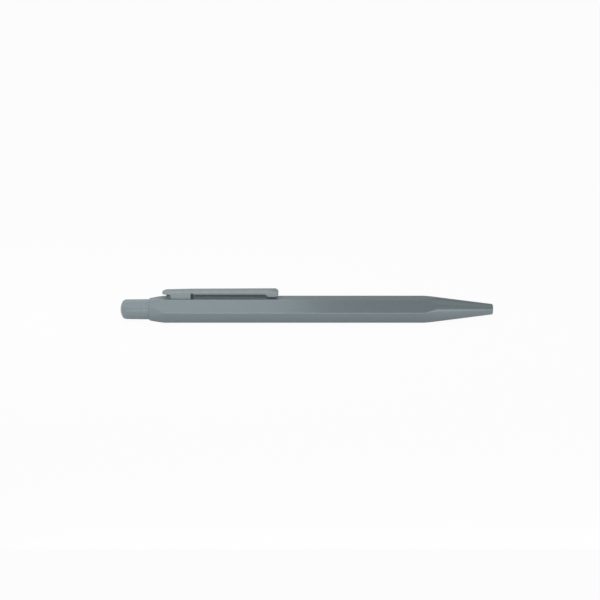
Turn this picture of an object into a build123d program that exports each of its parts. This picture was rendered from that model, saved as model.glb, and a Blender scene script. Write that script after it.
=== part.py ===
from build123d import *
import math
import os

# Push-button ballpoint pen with a hexagonal metal barrel, lying on one of its six flats.
# Millimetres. +X points from the push button to the writing point, +Z is up, the clip is on top.
# Radial sizes are built up from the refill outwards, so that each wall and clearance can be set alone.
# Lengthwise places are distances from the barrel's rear mouth and grow towards the writing point.

# Fits that several pieces share
running_clearance = 0.08
end_gap = 0.3
touch_gap = 0.05
overrun = 1.0

# Stroke of the push button, and how much of it the cam keeps when the point is out
button_travel = 6.0
latch_travel = 4.6

# Refill
refill_length = 98.4
refill_diameter = 5.9
refill_wall = 0.25
refill_clearance = 0.15
refill_shoulder_wall = 0.6
plug_head_length = 2.0
plug_spigot_length = 3.0
plug_notch_width = 1.0
plug_notch_depth = 0.8
plug_vent_diameter = 0.8
ink_air_length = 6.0

# Writing point
tip_setback = 1.8
tip_diameter = 2.35
tip_clearance = 0.12
tip_cone_length = 4.2
tip_shank_diameter = 1.9
tip_shank_length = 5.0
ink_channel_diameter = 0.5
ball_diameter = 1.0
ball_clearance = 0.02
lip_cover = 0.2
lip_wall = 0.06
holder_diameter = 3.2
holder_bore_diameter = 1.6
holder_flange_length = 2.4

# Return spring, round the tip holder
spring_wire = 0.38
spring_turns = 9
spring_inner_clearance = 0.12
spring_outer_clearance = 0.1
least_wire_gap = 0.4

# Barrel
flat_wall = 0.61
barrel_edge_radius = 0.42
mouth_wall = 0.28
mouth_half_angle = 10.0
mouth_rim_radius = 0.25
thread_step = 0.2
thread_passing_clearance = 0.34
nose_wall = 0.52
nose_half_angle = 7.16
nose_rim_radius = 0.5
chamber_wall = 0.48
chamber_taper_length = 0.9
nose_bore_wall = 0.62

# Push button
button_reach = 10.1
button_skirt_length = 0.8
button_wall = 0.58
button_end_wall = 1.2
button_taper = 0.12
button_dome_radius = 5.5
button_corner_radius = 1.6
button_boss_length = 2.6
button_boss_wall = 0.7

# Mechanism housing and cam sleeve
housing_end_wall = 0.8
housing_neck_wall = 0.3
housing_thread_length = 4.4
housing_collar_length = 1.0
sleeve_wall = 0.4
rib_height = 0.5
rib_width = 0.98
rib_slant = 0.35
rib_count = 4
rib_clearance = 0.1

# Plunger and cam rotor
plunger_fin_length = 3.6
plunger_fin_width = 1.2
plunger_crown_neck = 1.2
fin_clearance = 0.06
tooth_height = 0.6
tooth_count = 8
tooth_gap_share = 0.8
pilot_diameter = 1.5
pilot_length = 2.5
rotor_neck = 0.3
rotor_fin_length = 3.2
rotor_fin_width = 0.98
rotor_side_angle = 4.3
rotor_flange_length = 2.65
rotor_flange_clearance = 0.3

# Clip
clip_set_back = 4.57
clip_length = 40.5
clip_width = 3.8
clip_sheet = 0.55
clip_height = 2.62
clip_foot_rise = 0.19
clip_arm_rise = 0.14
clip_arm_gap = 0.99
clip_lip_width = 1.1
clip_lip_radius = 1.0
clip_bend_radius = 0.45
clip_tail_length = 2.6
clip_tail_slope_length = 1.7
clip_tail_slope_drop = 0.5
clip_tail_gap = 1.5
clip_tail_end_gap = 1.82
clip_heel_length = 1.25
clip_heel_width = 1.2
clip_foot_length = 7.3
clip_tab_length = 5.5
clip_tab_depth = 0.75
clip_end_slope_length = 0.8
clip_end_slope_drop = 0.6
clip_end_gap = 1.5
clip_pad_length = 4.6
clip_pad_slope_length = 1.0
clip_pad_gap = 0.6
clip_pad_edge_radius = 0.4

# Radii, from the refill outwards to the flats
refill_radius = refill_diameter / 2
refill_bore_radius = refill_radius + refill_clearance
thread_radius = refill_bore_radius + thread_step
button_bore_radius = thread_radius + thread_passing_clearance
button_radius = button_bore_radius - running_clearance
collar_radius = button_bore_radius - running_clearance
mouth_radius = button_bore_radius + mouth_wall
flat_radius = button_bore_radius + flat_wall
corner_radius = flat_radius / math.cos(math.pi / 6)

# Radii, from the button's skirt inwards to the cam's core
button_end_radius = button_radius - button_taper
button_inner_radius = button_radius - button_wall
neck_radius = button_inner_radius - running_clearance
housing_bore_radius = neck_radius - housing_neck_wall
rotor_flange_radius = housing_bore_radius - rotor_flange_clearance
sleeve_bore_radius = housing_bore_radius - sleeve_wall
rib_radius = sleeve_bore_radius - rib_height
core_radius = rib_radius - rib_clearance
stem_hole_radius = core_radius + running_clearance
boss_radius = core_radius + button_boss_wall
pilot_radius = pilot_diameter / 2
pilot_hole_radius = pilot_radius + running_clearance
fin_radius = sleeve_bore_radius - fin_clearance
plunger_fin_top = math.sqrt(fin_radius**2 - (plunger_fin_width / 2) ** 2)
rotor_fin_top = math.sqrt(fin_radius**2 - (rotor_fin_width / 2) ** 2)

# Radii at the point
tip_radius = tip_diameter / 2
tip_hole_radius = tip_radius + tip_clearance
nose_radius = tip_hole_radius + nose_wall
shank_radius = tip_shank_diameter / 2
channel_radius = ink_channel_diameter / 2
holder_radius = holder_diameter / 2
holder_bore_radius = holder_bore_diameter / 2
coil_radius = holder_radius + spring_inner_clearance + spring_wire / 2
chamber_radius = coil_radius + spring_wire / 2 + spring_outer_clearance
tube_inner_radius = refill_radius - refill_wall
vent_radius = plug_vent_diameter / 2
ball_radius = ball_diameter / 2
socket_radius = ball_radius + ball_clearance
lip_radius = math.sqrt(socket_radius**2 - lip_cover**2) + lip_wall

# Places along the pen, from the mouth inwards
button_end = -button_reach
button_cavity_end = button_end + button_end_wall
button_boss_front = button_cavity_end + button_boss_length
housing_rear = button_boss_front + button_travel + end_gap
guide_rear = housing_rear + housing_end_wall
plunger_fin_rear = guide_rear + touch_gap
plunger_fin_front = plunger_fin_rear + plunger_fin_length
crown_front = plunger_fin_front + plunger_crown_neck + tooth_height
pilot_hole_rear = crown_front - tooth_height - pilot_length - end_gap
rotor_rear = crown_front + touch_gap
pilot_rear = rotor_rear - pilot_length
rotor_fin_rear = rotor_rear + tooth_height + rotor_neck
rotor_fin_front = rotor_fin_rear + rotor_fin_length
rib_front = rotor_fin_rear + latch_travel
sleeve_front = rotor_fin_front + button_travel + end_gap
rotor_flange_rear = sleeve_front + end_gap
rotor_front = rotor_flange_rear + rotor_flange_length
refill_rear = rotor_front + touch_gap
housing_shoulder = button_skirt_length + button_travel + end_gap
housing_front = refill_rear - end_gap
thread_front = housing_front + end_gap
thread_rear = housing_front - housing_thread_length
collar_rear = thread_rear - housing_collar_length

# Places along the pen, from the point backwards
barrel_length = refill_rear + refill_length + tip_setback
overall_length = barrel_length + button_reach
mouth_slope = math.tan(math.radians(mouth_half_angle))
nose_slope = math.tan(math.radians(nose_half_angle))
spring_seat = barrel_length - (chamber_radius + chamber_wall - nose_radius) / nose_slope
refill_bore_front = barrel_length - (refill_bore_radius + nose_bore_wall - nose_radius) / nose_slope
refill_shoulder = refill_bore_front - button_travel - end_gap
holder_flange_front = refill_shoulder - refill_shoulder_wall
holder_flange_rear = holder_flange_front - holder_flange_length
holder_front = spring_seat - button_travel - end_gap
shank_rear = holder_front - tip_shank_length
ball_centre = barrel_length - tip_setback - ball_radius
lip_front = ball_centre + lip_cover
tip_cone_rear = lip_front - tip_cone_length
tube_rear = refill_rear + plug_head_length
plug_front = tube_rear + plug_spigot_length
ink_rear = plug_front + ink_air_length

# Clip: the foot stands on the top flat, the arm springs from the foot's front edge
clip_rear = clip_set_back
clip_front = clip_rear + clip_length
tail_slope_front = clip_rear + clip_tail_slope_length
foot_rear = clip_rear + clip_tail_length
heel_rear = foot_rear - clip_heel_length
foot_front = foot_rear + clip_foot_length
pad_rear = clip_front - clip_pad_length
clip_side = clip_width / 2
clip_inside = clip_side - clip_sheet
lip_inside = clip_side - clip_lip_width
clip_top = flat_radius + clip_height
foot_top = clip_top + clip_foot_rise
arm_under = flat_radius + clip_arm_gap
tail_under = flat_radius + clip_tail_gap
tail_end_under = flat_radius + clip_tail_end_gap
end_under = flat_radius + clip_end_gap
pad_under = flat_radius + clip_pad_gap
arm_slope = clip_arm_rise / (clip_front - foot_front)

# The pen's frame: the origin is on the ground, under the middle of the whole length
axis_height = flat_radius
mouth_x = button_reach - overall_length / 2
lengthwise = Plane(origin=(mouth_x, 0, axis_height), x_dir=(1, 0, 0), z_dir=(0, -1, 0))
pen_axis = Axis((mouth_x, 0, axis_height), (1, 0, 0))


def crosswise(place):
    """Plane across the pen at a place along it, facing the point."""
    return Plane(origin=(mouth_x + place, 0, axis_height), x_dir=(0, 1, 0), z_dir=(1, 0, 0))


def around(angle, radius):
    """Plane square to a radius of the pen, turned by an angle about +X from the top."""
    turn = math.radians(angle)
    outward = Vector(0, -math.sin(turn), math.cos(turn))
    middle = Vector(mouth_x, 0, axis_height)
    return Plane(origin=middle + outward * radius, x_dir=(1, 0, 0), z_dir=outward)


def spread(count, first=0.0):
    """Angles in equal steps round the pen."""
    return [first + 360 * step / count for step in range(count)]


def outline(plane, *points):
    """Closed straight-sided section on a plane."""
    with BuildSketch(plane) as section:
        with BuildLine():
            Polyline(*points, close=True)
        make_face()
    return section.sketch


def turned(*points):
    """Half section of a turned piece, as places along the pen and radii."""
    return outline(lengthwise, *points)


def bar(rear, front, outer):
    """Half section of a plain round bar."""
    return turned((rear, 0), (front, 0), (front, outer), (rear, outer))


def arm_top(place):
    """Height of the clip's arm above the axis at a place along it."""
    return foot_top + arm_slope * (place - foot_front)


def long_top_edges(piece):
    """The two long edges along the top of a clip piece."""
    top = piece.faces().filter_by(lambda face: face.normal_at().Z > math.cos(math.pi / 6))
    return top.sort_by(SortBy.AREA)[-1].edges().sort_by(SortBy.LENGTH)[-2:]


# Clip tabs: two strips of the sheet that go down into pockets in the top flat
tab_side = clip_side - clip_sheet / 2
tab_middle = (foot_rear + foot_front) / 2
with BuildPart() as clip_tabs:
    with BuildSketch(Plane(origin=(mouth_x + tab_middle, 0, axis_height + flat_radius))):
        with Locations((0, -tab_side), (0, tab_side)):
            Rectangle(clip_tab_length, clip_sheet)
    extrude(amount=-clip_tab_depth)

# Barrel: hexagonal bar, turned to a long cone at the point and a short one at the mouth
turned_radius = corner_radius + overrun
mouth_cone_front = (turned_radius - mouth_radius) / mouth_slope
nose_cone_rear = barrel_length - (turned_radius - nose_radius) / nose_slope
with BuildPart() as barrel:
    with BuildSketch(crosswise(0)) as hexagon:
        RegularPolygon(flat_radius, 6, major_radius=False)
        fillet(hexagon.vertices(), barrel_edge_radius)
    extrude(amount=barrel_length)
    with BuildSketch(lengthwise) as turning:
        with BuildLine():
            Polyline(
                (0, 0),
                (0, mouth_radius),
                (mouth_cone_front, turned_radius),
                (nose_cone_rear, turned_radius),
                (barrel_length, nose_radius),
                (barrel_length, 0),
                close=True,
            )
        make_face()
        nose_rim = turning.vertices().sort_by_distance((barrel_length, nose_radius))[0]
        fillet(nose_rim, min(nose_rim_radius, nose_wall))
        mouth_rim = turning.vertices().sort_by_distance((0, mouth_radius))[0]
        fillet(mouth_rim, min(mouth_rim_radius, mouth_wall))
    revolve(axis=pen_axis, mode=Mode.INTERSECT)
    bore = turned(
        (-overrun, 0),
        (-overrun, button_bore_radius),
        (thread_rear, button_bore_radius),
        (thread_rear, thread_radius),
        (thread_front, thread_radius),
        (thread_front, refill_bore_radius),
        (refill_bore_front, refill_bore_radius),
        (refill_bore_front + chamber_taper_length, chamber_radius),
        (spring_seat, chamber_radius),
        (spring_seat, tip_hole_radius),
        (barrel_length + overrun, tip_hole_radius),
        (barrel_length + overrun, 0),
    )
    revolve(bore, axis=pen_axis, mode=Mode.SUBTRACT)
    add(clip_tabs.part, mode=Mode.SUBTRACT)

# Clip foot: folded sheet, open below, with a short closed tail behind it
with BuildPart() as clip_foot:
    foot_outline = outline(
        lengthwise,
        (clip_rear, tail_end_under),
        (clip_rear, clip_top - clip_tail_slope_drop),
        (tail_slope_front, clip_top),
        (foot_front, foot_top),
        (foot_front, flat_radius),
        (foot_rear, flat_radius),
        (foot_rear, tail_under),
    )
    extrude(foot_outline, amount=clip_side, both=True)
    fillet(long_top_edges(clip_foot), clip_bend_radius)
    foot_hollow = outline(
        lengthwise,
        (tail_slope_front, flat_radius - overrun),
        (tail_slope_front, clip_top - clip_sheet),
        (foot_front, foot_top - clip_sheet),
        (foot_front + overrun, foot_top - clip_sheet),
        (foot_front + overrun, flat_radius - overrun),
    )
    extrude(foot_hollow, amount=clip_inside, both=True, mode=Mode.SUBTRACT)
    heel_outline = outline(
        lengthwise,
        (heel_rear, flat_radius),
        (heel_rear, tail_end_under),
        (tail_slope_front, clip_top - clip_sheet),
        (foot_rear, clip_top - clip_sheet),
        (foot_rear, flat_radius),
    )
    extrude(heel_outline, amount=clip_heel_width / 2, both=True)
    add(clip_tabs.part)

# Clip arm: the same channel with its lips curled in, running forward to a pad at its free end
end_slope_rear = clip_front - clip_end_slope_length
with BuildPart() as clip_arm:
    arm_outline = outline(
        lengthwise,
        (foot_front, arm_under),
        (foot_front, foot_top),
        (end_slope_rear, arm_top(end_slope_rear)),
        (clip_front, arm_top(clip_front) - clip_end_slope_drop),
        (clip_front, end_under),
        (clip_front - clip_pad_slope_length, pad_under),
        (pad_rear + clip_pad_slope_length, pad_under),
        (pad_rear, arm_under),
    )
    extrude(arm_outline, amount=clip_side, both=True)
    fillet(long_top_edges(clip_arm), clip_bend_radius)
    pad_face = clip_arm.faces().filter_by(Axis.Z).sort_by(Axis.Z)[0]
    fillet(pad_face.edges().filter_by(Axis.X), clip_pad_edge_radius)
    arm_hollow = outline(
        lengthwise,
        (foot_front - overrun, flat_radius),
        (foot_front - overrun, arm_top(foot_front - overrun) - clip_sheet),
        (pad_rear, arm_top(pad_rear) - clip_sheet),
        (pad_rear, flat_radius),
    )
    extrude(arm_hollow, amount=lip_inside, both=True, mode=Mode.SUBTRACT)
    with BuildSketch(crosswise(foot_front)):
        with Locations((-clip_side, arm_under), (clip_side, arm_under)):
            Rectangle(2 * clip_lip_radius, 2 * clip_lip_radius)
        lip_centre = clip_side - clip_lip_radius
        lip_height = arm_under + clip_lip_radius
        with Locations((-lip_centre, lip_height), (lip_centre, lip_height)):
            Circle(clip_lip_radius, mode=Mode.SUBTRACT)
    extrude(amount=pad_rear - foot_front, mode=Mode.SUBTRACT)

# Push button: slightly tapered cap with a domed end, and a boss inside for the plunger's stem
dome_depth = button_dome_radius - math.sqrt(button_dome_radius**2 - button_end_radius**2)
dome_front = button_end + dome_depth
with BuildPart() as push_button:
    with BuildSketch(lengthwise) as button_half:
        with BuildLine():
            RadiusArc((button_end, 0), (dome_front, button_end_radius), button_dome_radius)
            Polyline(
                (dome_front, button_end_radius),
                (button_skirt_length, button_radius),
                (button_skirt_length, 0),
                (button_end, 0),
            )
        make_face()
        dome_rim = button_half.vertices().sort_by_distance((dome_front, button_end_radius))[0]
        fillet(dome_rim, button_corner_radius)
    revolve(axis=pen_axis)
    cavity = turned(
        (button_cavity_end, 0),
        (button_cavity_end, core_radius),
        (button_boss_front, core_radius),
        (button_boss_front, boss_radius),
        (button_cavity_end, boss_radius),
        (button_cavity_end, button_inner_radius),
        (button_skirt_length + overrun, button_inner_radius),
        (button_skirt_length + overrun, 0),
    )
    revolve(cavity, axis=pen_axis, mode=Mode.SUBTRACT)

# Plunger: moulded stem pressed into the button, with guide fins and a toothed crown
half_tooth_gap = tooth_gap_share * core_radius * math.sin(math.pi / tooth_count)
with BuildPart() as plunger:
    revolve(bar(button_cavity_end, crown_front, core_radius), axis=pen_axis)
    for fin_angle in spread(rib_count, 180 / rib_count):
        fin = outline(
            around(fin_angle, pilot_hole_radius),
            (plunger_fin_rear, -plunger_fin_width / 2),
            (plunger_fin_front, -plunger_fin_width / 2),
            (plunger_fin_front, plunger_fin_width / 2),
            (plunger_fin_rear, plunger_fin_width / 2),
        )
        extrude(fin, amount=plunger_fin_top - pilot_hole_radius)
    for gap_angle in spread(tooth_count):
        tooth_gap = outline(
            around(gap_angle, 0),
            (crown_front, -half_tooth_gap),
            (crown_front - tooth_height, 0),
            (crown_front, half_tooth_gap),
        )
        extrude(tooth_gap, amount=core_radius + overrun, mode=Mode.SUBTRACT)
    pilot_hole = bar(pilot_hole_rear, crown_front + overrun, pilot_hole_radius)
    revolve(pilot_hole, axis=pen_axis, mode=Mode.SUBTRACT)

# Cam rotor: turned by the crown's teeth, latched by its slanted fins, pushes the refill forward
rib_corner_radius = math.hypot(rib_radius, rib_width / 2)
rib_half_angle = math.degrees(math.asin(rib_width / 2 / rib_corner_radius))
fin_half_angle = math.degrees(math.asin(rotor_fin_width / 2 / rib_corner_radius))
rotor_rest_angle = rib_half_angle + fin_half_angle + rotor_side_angle
with BuildPart() as cam_rotor:
    revolve(bar(rotor_rear, rotor_front, core_radius), axis=pen_axis)
    revolve(bar(rotor_flange_rear, rotor_front, rotor_flange_radius), axis=pen_axis)
    for fin_angle in spread(rib_count, rotor_rest_angle):
        fin = outline(
            around(fin_angle, 0),
            (rotor_fin_rear, -rotor_fin_width / 2),
            (rotor_fin_front, -rotor_fin_width / 2),
            (rotor_fin_front, rotor_fin_width / 2),
            (rotor_fin_rear + rib_slant, rotor_fin_width / 2),
        )
        extrude(fin, amount=rotor_fin_top)
    for gap_angle in spread(tooth_count, 180 / tooth_count):
        tooth_gap = outline(
            around(gap_angle, 0),
            (rotor_rear, -half_tooth_gap),
            (rotor_rear + tooth_height, 0),
            (rotor_rear, half_tooth_gap),
        )
        extrude(tooth_gap, amount=core_radius + overrun, mode=Mode.SUBTRACT)
    revolve(bar(pilot_rear, rotor_rear + tooth_height, pilot_radius), axis=pen_axis)

# Cam sleeve: moulded liner with the slanted ribs that the fins run between
with BuildPart() as cam_sleeve:
    sleeve_half = turned(
        (guide_rear, sleeve_bore_radius),
        (sleeve_front, sleeve_bore_radius),
        (sleeve_front, housing_bore_radius),
        (guide_rear, housing_bore_radius),
    )
    revolve(sleeve_half, axis=pen_axis)
    for rib_angle in spread(rib_count):
        rib = outline(
            around(rib_angle, rib_radius),
            (guide_rear, -rib_width / 2),
            (rib_front - rib_slant, -rib_width / 2),
            (rib_front, rib_width / 2),
            (guide_rear, rib_width / 2),
        )
        extrude(rib, amount=rib_height + sleeve_wall / 2)

# Mechanism housing: turned brass, screwed into the barrel up to its collar
with BuildPart() as mechanism_housing:
    housing_half = turned(
        (housing_rear, stem_hole_radius),
        (housing_rear, neck_radius),
        (housing_shoulder, neck_radius),
        (housing_shoulder, thread_radius),
        (collar_rear, thread_radius),
        (collar_rear, collar_radius),
        (thread_rear, collar_radius),
        (thread_rear, thread_radius),
        (housing_front, thread_radius),
        (housing_front, housing_bore_radius),
        (guide_rear, housing_bore_radius),
        (guide_rear, stem_hole_radius),
    )
    revolve(housing_half, axis=pen_axis)

# Refill tube: drawn metal, closed at the front but for the holder's hole
with BuildPart() as refill_tube:
    tube_half = turned(
        (tube_rear, tube_inner_radius),
        (tube_rear, refill_radius),
        (refill_shoulder, refill_radius),
        (refill_shoulder, holder_radius),
        (holder_flange_front, holder_radius),
        (holder_flange_front, tube_inner_radius),
    )
    revolve(tube_half, axis=pen_axis)

# Refill plug: moulded, vented, with a notch across its end
with BuildPart() as refill_plug:
    revolve(bar(refill_rear, tube_rear, refill_radius), axis=pen_axis)
    revolve(bar(tube_rear, plug_front, tube_inner_radius), axis=pen_axis)
    vent = bar(refill_rear - overrun, plug_front + overrun, vent_radius)
    revolve(vent, axis=pen_axis, mode=Mode.SUBTRACT)
    with BuildSketch(crosswise(refill_rear)):
        Rectangle(plug_notch_width, refill_diameter + overrun)
    extrude(amount=plug_notch_depth, mode=Mode.SUBTRACT)

# Ink column: fills the tube from the holder back to the air space
with BuildPart() as ink_column:
    revolve(bar(ink_rear, holder_flange_rear, tube_inner_radius), axis=pen_axis)

# Tip holder: brass bush in the tube's front, carries the writing tip
with BuildPart() as tip_holder:
    holder_half = turned(
        (holder_flange_rear, holder_bore_radius),
        (holder_flange_rear, tube_inner_radius),
        (holder_flange_front, tube_inner_radius),
        (holder_flange_front, holder_radius),
        (holder_front, holder_radius),
        (holder_front, shank_radius),
        (shank_rear, shank_radius),
        (shank_rear, holder_bore_radius),
    )
    revolve(holder_half, axis=pen_axis)

# Writing tip: turned cone with the ball's socket and the ink channel
ball_place = (mouth_x + ball_centre, 0, axis_height)
with BuildPart() as writing_tip:
    tip_half = turned(
        (shank_rear, 0),
        (shank_rear, shank_radius),
        (holder_front, shank_radius),
        (holder_front, tip_radius),
        (tip_cone_rear, tip_radius),
        (lip_front, lip_radius),
        (lip_front, 0),
    )
    revolve(tip_half, axis=pen_axis)
    ink_channel = bar(shank_rear - overrun, ball_centre, channel_radius)
    revolve(ink_channel, axis=pen_axis, mode=Mode.SUBTRACT)
    with Locations(ball_place):
        Sphere(socket_radius, mode=Mode.SUBTRACT)

# Ball: trapped by the tip's rolled lip, free to roll
with BuildPart() as tip_ball:
    with Locations(ball_place):
        Sphere(ball_radius)

# Return spring: one open wire coil between the refill's shoulder and the seat in the nose
coil_rear = refill_shoulder + spring_wire / 2 + touch_gap
coil_front = spring_seat - spring_wire / 2 - touch_gap
coil_pitch = (coil_front - coil_rear) / spring_turns


def coil_point(turns):
    """Point on the coil's middle line after a number of turns."""
    angle = 2 * math.pi * turns
    across = coil_radius * math.cos(angle)
    up = axis_height + coil_radius * math.sin(angle)
    return Vector(mouth_x + coil_rear + coil_pitch * turns, across, up)


def coil_way(turns):
    """Direction of the coil's middle line after a number of turns."""
    angle = 2 * math.pi * turns
    step = coil_pitch / (2 * math.pi)
    return Vector(step, -coil_radius * math.sin(angle), coil_radius * math.cos(angle)).normalized()


def biarc_middle(start, start_way, end, end_way):
    """Point and direction where two arcs meet tangentially between two ends."""
    chord = end - start
    turning_share = 2 * (1 - start_way.dot(end_way))
    along = chord.dot(start_way + end_way)
    reach = (math.sqrt(along**2 + turning_share * chord.dot(chord)) - along) / turning_share
    start_corner = start + start_way * reach
    end_corner = end - end_way * reach
    return (start_corner + end_corner) / 2, (end_corner - start_corner).normalized()


with BuildPart() as return_spring:
    with BuildLine() as coil:
        for half_turn in range(2 * spring_turns):
            start = coil_point(half_turn / 2)
            end = coil_point((half_turn + 1) / 2)
            start_way = coil_way(half_turn / 2)
            end_way = coil_way((half_turn + 1) / 2)
            middle, middle_way = biarc_middle(start, start_way, end, end_way)
            TangentArc(start, middle, tangent=start_way)
            TangentArc(middle, end, tangent=middle_way)
    with BuildSketch(Plane(origin=coil_point(0), z_dir=coil_way(0))):
        Circle(spring_wire / 2)
    sweep(path=coil.wires()[0])

# Least gap between the coil's turns, on points along the wire
points_per_turn = 24
coil_steps = points_per_turn * spring_turns
coil_points = [coil.wires()[0].position_at(step / coil_steps) for step in range(coil_steps + 1)]
spans = [
    (near - far).length
    for step, near in enumerate(coil_points)
    for far in coil_points[step + points_per_turn // 2 :]
]
print(f"least gap between the spring's turns {min(spans) - spring_wire:.2f}, over {least_wire_gap} wanted")
print(f"overall length {overall_length:.2f}, across flats {2 * flat_radius:.2f}")

pieces = {
    "barrel": barrel,
    "clip_foot": clip_foot,
    "clip_arm": clip_arm,
    "push_button": push_button,
    "plunger": plunger,
    "cam_rotor": cam_rotor,
    "cam_sleeve": cam_sleeve,
    "mechanism_housing": mechanism_housing,
    "refill_tube": refill_tube,
    "refill_plug": refill_plug,
    "ink_column": ink_column,
    "tip_holder": tip_holder,
    "writing_tip": writing_tip,
    "tip_ball": tip_ball,
    "return_spring": return_spring,
}
os.makedirs("parts", exist_ok=True)
for name, piece in pieces.items():
    piece.part.label = name
    export_step(piece.part, f"parts/{name}.step")
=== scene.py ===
import math

import bmesh
import bpy
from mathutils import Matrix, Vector


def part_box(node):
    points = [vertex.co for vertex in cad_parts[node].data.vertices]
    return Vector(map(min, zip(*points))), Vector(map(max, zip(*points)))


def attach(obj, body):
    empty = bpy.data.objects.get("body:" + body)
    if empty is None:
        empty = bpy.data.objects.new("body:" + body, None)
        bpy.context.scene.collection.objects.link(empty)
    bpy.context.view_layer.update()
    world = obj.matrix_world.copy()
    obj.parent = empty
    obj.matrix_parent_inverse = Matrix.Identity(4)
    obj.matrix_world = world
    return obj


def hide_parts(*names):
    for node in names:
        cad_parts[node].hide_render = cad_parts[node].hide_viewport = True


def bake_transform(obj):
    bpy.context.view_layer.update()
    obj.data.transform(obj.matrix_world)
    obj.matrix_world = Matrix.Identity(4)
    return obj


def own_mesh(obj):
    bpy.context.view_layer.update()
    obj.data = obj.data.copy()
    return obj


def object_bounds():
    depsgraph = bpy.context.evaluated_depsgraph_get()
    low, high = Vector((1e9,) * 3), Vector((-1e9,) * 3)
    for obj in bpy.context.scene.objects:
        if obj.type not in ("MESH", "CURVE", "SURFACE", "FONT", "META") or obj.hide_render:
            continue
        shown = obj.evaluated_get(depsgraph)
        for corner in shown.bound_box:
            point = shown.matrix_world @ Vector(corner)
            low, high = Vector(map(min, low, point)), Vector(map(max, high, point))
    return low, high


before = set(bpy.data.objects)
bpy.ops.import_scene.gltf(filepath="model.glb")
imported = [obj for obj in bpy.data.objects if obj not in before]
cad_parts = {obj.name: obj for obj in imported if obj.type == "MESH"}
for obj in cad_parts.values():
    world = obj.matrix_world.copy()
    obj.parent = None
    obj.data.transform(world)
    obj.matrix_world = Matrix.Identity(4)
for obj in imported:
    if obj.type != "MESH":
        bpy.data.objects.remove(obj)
cad_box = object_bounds()


# Barrel: one length of hexagonal aluminium bar, turned to a long cone at the point and a short one
# at the mouth, and bored right through for the refill. A sprayed satin grey coating covers it and
# softens the edges where the flats run out into the cones.
barrel_low, barrel_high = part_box("barrel")
housing_low, housing_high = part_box("mechanism_housing")
mouth = barrel_low.x
nose = barrel_high.x
flat_radius = (barrel_high.z - barrel_low.z) / 2
axis_height = barrel_low.z + flat_radius
edge_radius = 0.42e-3
edge_softness = 0.05e-3
mouth_radius = 3.92e-3
mouth_angle = math.radians(10)
mouth_rim = 0.25e-3
nose_radius = 1.815e-3
nose_angle = math.radians(7.16)
nose_rim = 0.5e-3
button_bore = 3.64e-3
thread_bore = 3.3e-3
thread_length = 4.4e-3
refill_bore = 3.1e-3
refill_bore_wall = 0.62e-3
spring_bore = 2.2e-3
spring_bore_wall = 0.48e-3
spring_bore_taper = 0.9e-3
tip_hole = 1.295e-3
end_play = 0.3e-3
facet_turn = math.radians(60)
facet_steps = 26
edge_steps = 8
rim_steps = 6
mouth_steps = 48
bar_steps = 12
scallop_steps = 80
nose_steps = 14
crease_angle = math.radians(32)
weld_distance = 1e-7


def spread(start, end, steps):
    """Values in equal steps from start to end, both included."""
    return [start + (end - start) * step / steps for step in range(steps + 1)]


def axis_point(place, radius, angle):
    """Point at a place along the pen, a radius from its axis, turned by an angle from the top."""
    return Vector((place, radius * math.sin(angle), axis_height + radius * math.cos(angle)))


def loft(name, rings, closed=False):
    """Piece whose skin runs through rings of equally many points; open ends are filled."""
    skin = bmesh.new()
    rows = [[skin.verts.new(point) for point in ring] for ring in rings]
    pairs = list(zip(rows, rows[1:]))
    if closed:
        pairs.append((rows[-1], rows[0]))
    for near, far in pairs:
        for step in range(len(near)):
            skin.faces.new((near[step - 1], near[step], far[step], far[step - 1]))
    bmesh.ops.remove_doubles(skin, verts=skin.verts, dist=weld_distance)
    bmesh.ops.holes_fill(skin, edges=[edge for edge in skin.edges if edge.is_boundary])
    bmesh.ops.recalc_face_normals(skin, faces=skin.faces)
    mesh = bpy.data.meshes.new(name)
    skin.to_mesh(mesh)
    skin.free()
    piece = bpy.data.objects.new(name, mesh)
    bpy.context.scene.collection.objects.link(piece)
    smooth(mesh)
    return piece


def smooth(mesh):
    """Rounds the shading of gentle turns and keeps real corners crisp."""
    mesh.shade_smooth()
    mesh.set_sharp_from_angle(angle=crease_angle)


facet_end = math.atan((flat_radius - edge_radius) * math.tan(facet_turn / 2) / flat_radius)
edge_centre = (flat_radius - edge_radius) / math.cos(facet_turn / 2)


def bar_radius(angle):
    """Distance from the axis to the bar's rounded hexagon, which has a flat at angle 0."""
    from_flat = abs((angle + facet_turn / 2) % facet_turn - facet_turn / 2)
    if from_flat <= facet_end:
        return flat_radius / math.cos(from_flat)
    from_edge = facet_turn / 2 - from_flat
    across = edge_centre * math.sin(from_edge)
    return edge_centre * math.cos(from_edge) + math.sqrt(edge_radius**2 - across**2)


def soft_least(first, second):
    """The smaller of two radii, blended where they are nearly the same."""
    overlap = max(1 - abs(first - second) / edge_softness, 0)
    return min(first, second) - overlap**2 * edge_softness / 4


facet_angles = spread(-facet_end, facet_end, facet_steps)
edge_angles = spread(facet_end, facet_turn - facet_end, edge_steps)[1:-1]
section_angles = [
    facet * facet_turn + angle for facet in range(6) for angle in facet_angles + edge_angles
]


def bar_ring(place, turned):
    """Ring round the hexagonal bar where it is turned down to a radius."""
    return [axis_point(place, soft_least(bar_radius(angle), turned), angle) for angle in section_angles]


def rounded_rim(end, radius, angle, rim, way):
    """Places and radii of a cone's rounded end, from its flat face to its side."""
    centre_radius = radius + rim * math.tan(angle) - rim / math.cos(angle)
    return [
        (end + way * rim * (math.sin(turn) - 1), centre_radius + rim * math.cos(turn))
        for turn in spread(math.pi / 2, angle, rim_steps)
    ]


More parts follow.
